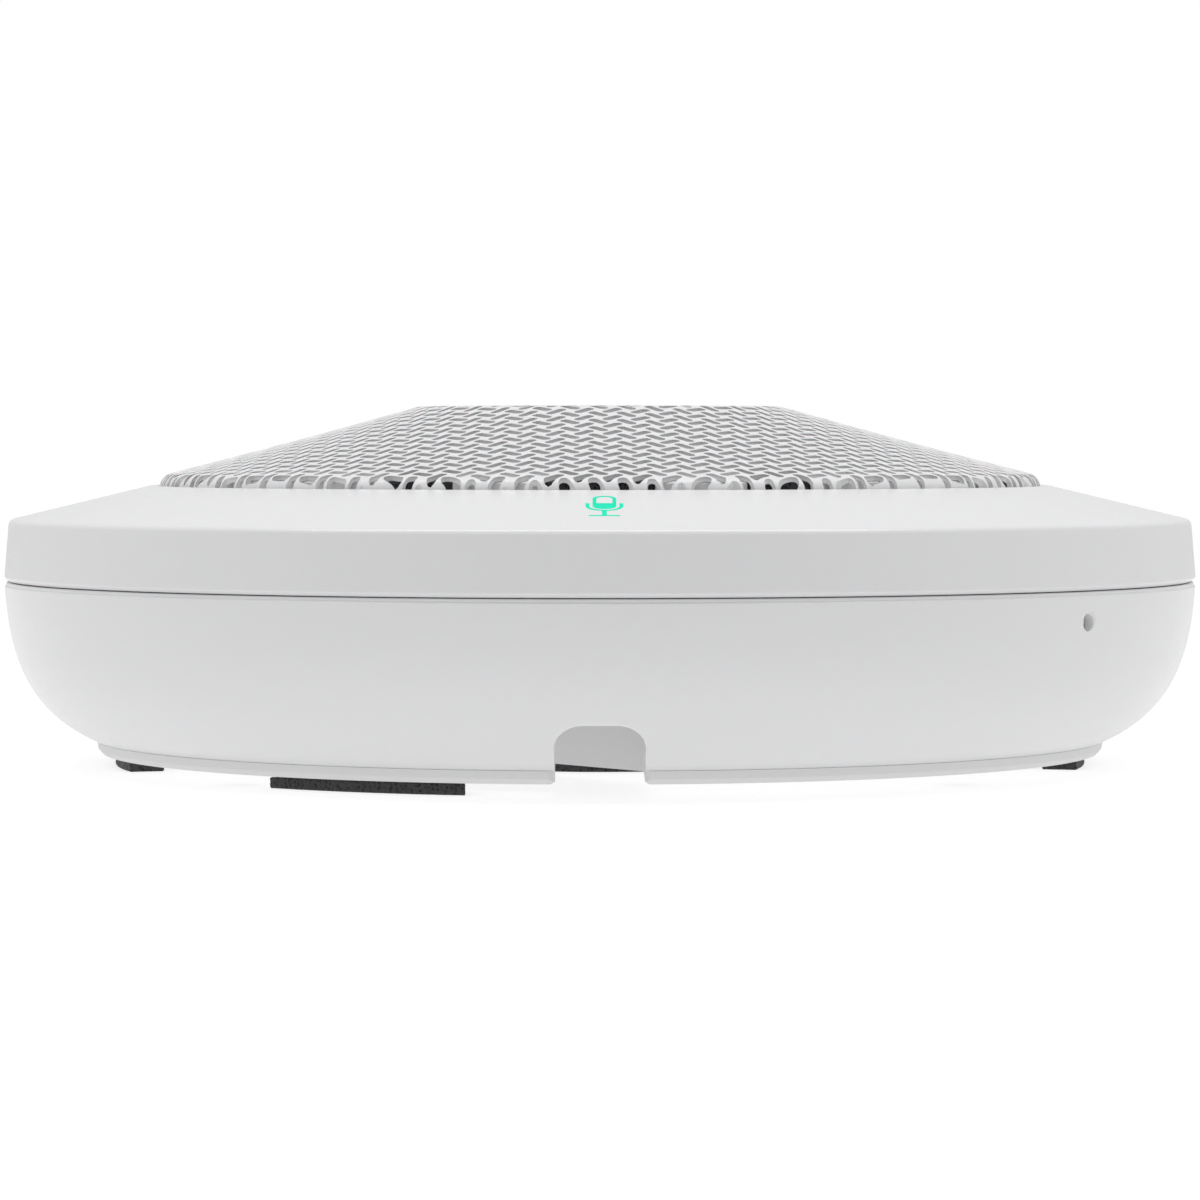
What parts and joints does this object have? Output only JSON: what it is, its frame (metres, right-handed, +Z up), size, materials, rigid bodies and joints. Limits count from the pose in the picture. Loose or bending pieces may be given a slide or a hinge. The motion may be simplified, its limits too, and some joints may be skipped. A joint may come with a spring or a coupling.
{
  "type": "conference speakerphone",
  "caption": "Round low-dome table speakerphone with a perforated grille, smooth bezel, bowl-shaped lower housing, cable notch, foam feet and a lit microphone symbol.",
  "frame": {"origin": "centre of the table contact, under the middle of the round body", "axes": "+Z up, -Y towards the cable notch and the microphone symbol, +X to the right when facing the notch"},
  "size_m": [0.24, 0.24, 0.072],
  "materials": {
    "white_shell": "fine satin moulded plastic",
    "white_grille": "satin moulded plastic, perforated",
    "white_inner": "matt moulded plastic",
    "black_foam": "open-cell foam rubber",
    "grey_cloth": "thin acoustic cloth",
    "black_plastic": "moulded black plastic",
    "steel": "zinc-plated steel",
    "socket_steel": "stamped shield",
    "basket_steel": "black painted pressed steel",
    "symbol_light": "lit translucent inlay",
    "circuit_board": "solder-masked glass-fibre board",
    "aluminium": "satin",
    "ferrite": "sintered ferrite",
    "rubber": "soft rubber",
    "cone_paper": "treated pulp",
    "copper": "enamelled copper winding"
  },
  "bodies": {
    "housing": {"foot_pad_front": "black_foam", "foot_pad_right": "black_foam", "foot_pad_rear": "black_foam", "foot_pad_left": "black_foam", "foot_pad_centre": "black_foam", "base_plate": "white_inner", "lower_housing": "white_shell", "top_bezel": "white_shell", "grille_dome": "white_grille", "grille_liner": "grey_cloth", "grille_carrier": "white_inner", "base_screw_1": "steel", "base_screw_2": "steel", "base_screw_3": "steel", "base_screw_4": "steel", "lid_screw_1": "steel", "lid_screw_2": "steel", "lid_screw_3": "steel", "lid_screw_4": "steel", "symbol_capsule_inlay": "symbol_light", "symbol_cradle_inlay": "symbol_light", "symbol_light_guide": "white_inner", "symbol_led_board": "circuit_board", "reset_switch": "black_plastic", "reset_board": "circuit_board", "main_board": "circuit_board", "processor": "black_plastic", "heat_spreader": "aluminium", "lan_socket": "socket_steel", "usb_socket": "socket_steel", "board_screw_1": "steel", "board_screw_2": "steel", "board_screw_3": "steel", "board_screw_4": "steel", "mic_board": "circuit_board", "mic_foam_ring": "black_foam", "microphone_1": "steel", "microphone_2": "steel", "microphone_3": "steel", "microphone_4": "steel", "mic_ribbon_cable": "white_inner", "chamber_lid": "black_plastic", "chamber_cup": "black_plastic", "driver_basket": "basket_steel", "driver_gasket": "black_foam", "driver_magnet_ring": "ferrite", "driver_front_plate": "steel", "driver_yoke": "steel", "driver_spider": "cone_paper", "driver_surround": "rubber", "driver_screw_1": "steel", "driver_screw_2": "steel", "driver_screw_3": "steel", "driver_screw_4": "steel", "speaker_lead": "rubber"},
    "cone": {"speaker_cone": "cone_paper", "dust_cap": "rubber", "voice_coil": "copper"},
    "reset": {"reset_button": "white_inner"}
  },
  "joints": [
    {"name": "cone_travel", "type": "slide", "parent": "housing", "child": "cone", "axis": [0, 0, 1], "range_m": [-0.002, 0.002], "stiffness_N_per_m": 1200, "deforming": ["driver_surround", "driver_spider"]},
    {"name": "reset_press", "type": "slide", "parent": "housing", "child": "reset", "axis": [-0.766, 0.6428, 0], "range_m": [0, 0.0004], "stiffness_N_per_m": 300}
  ]
}
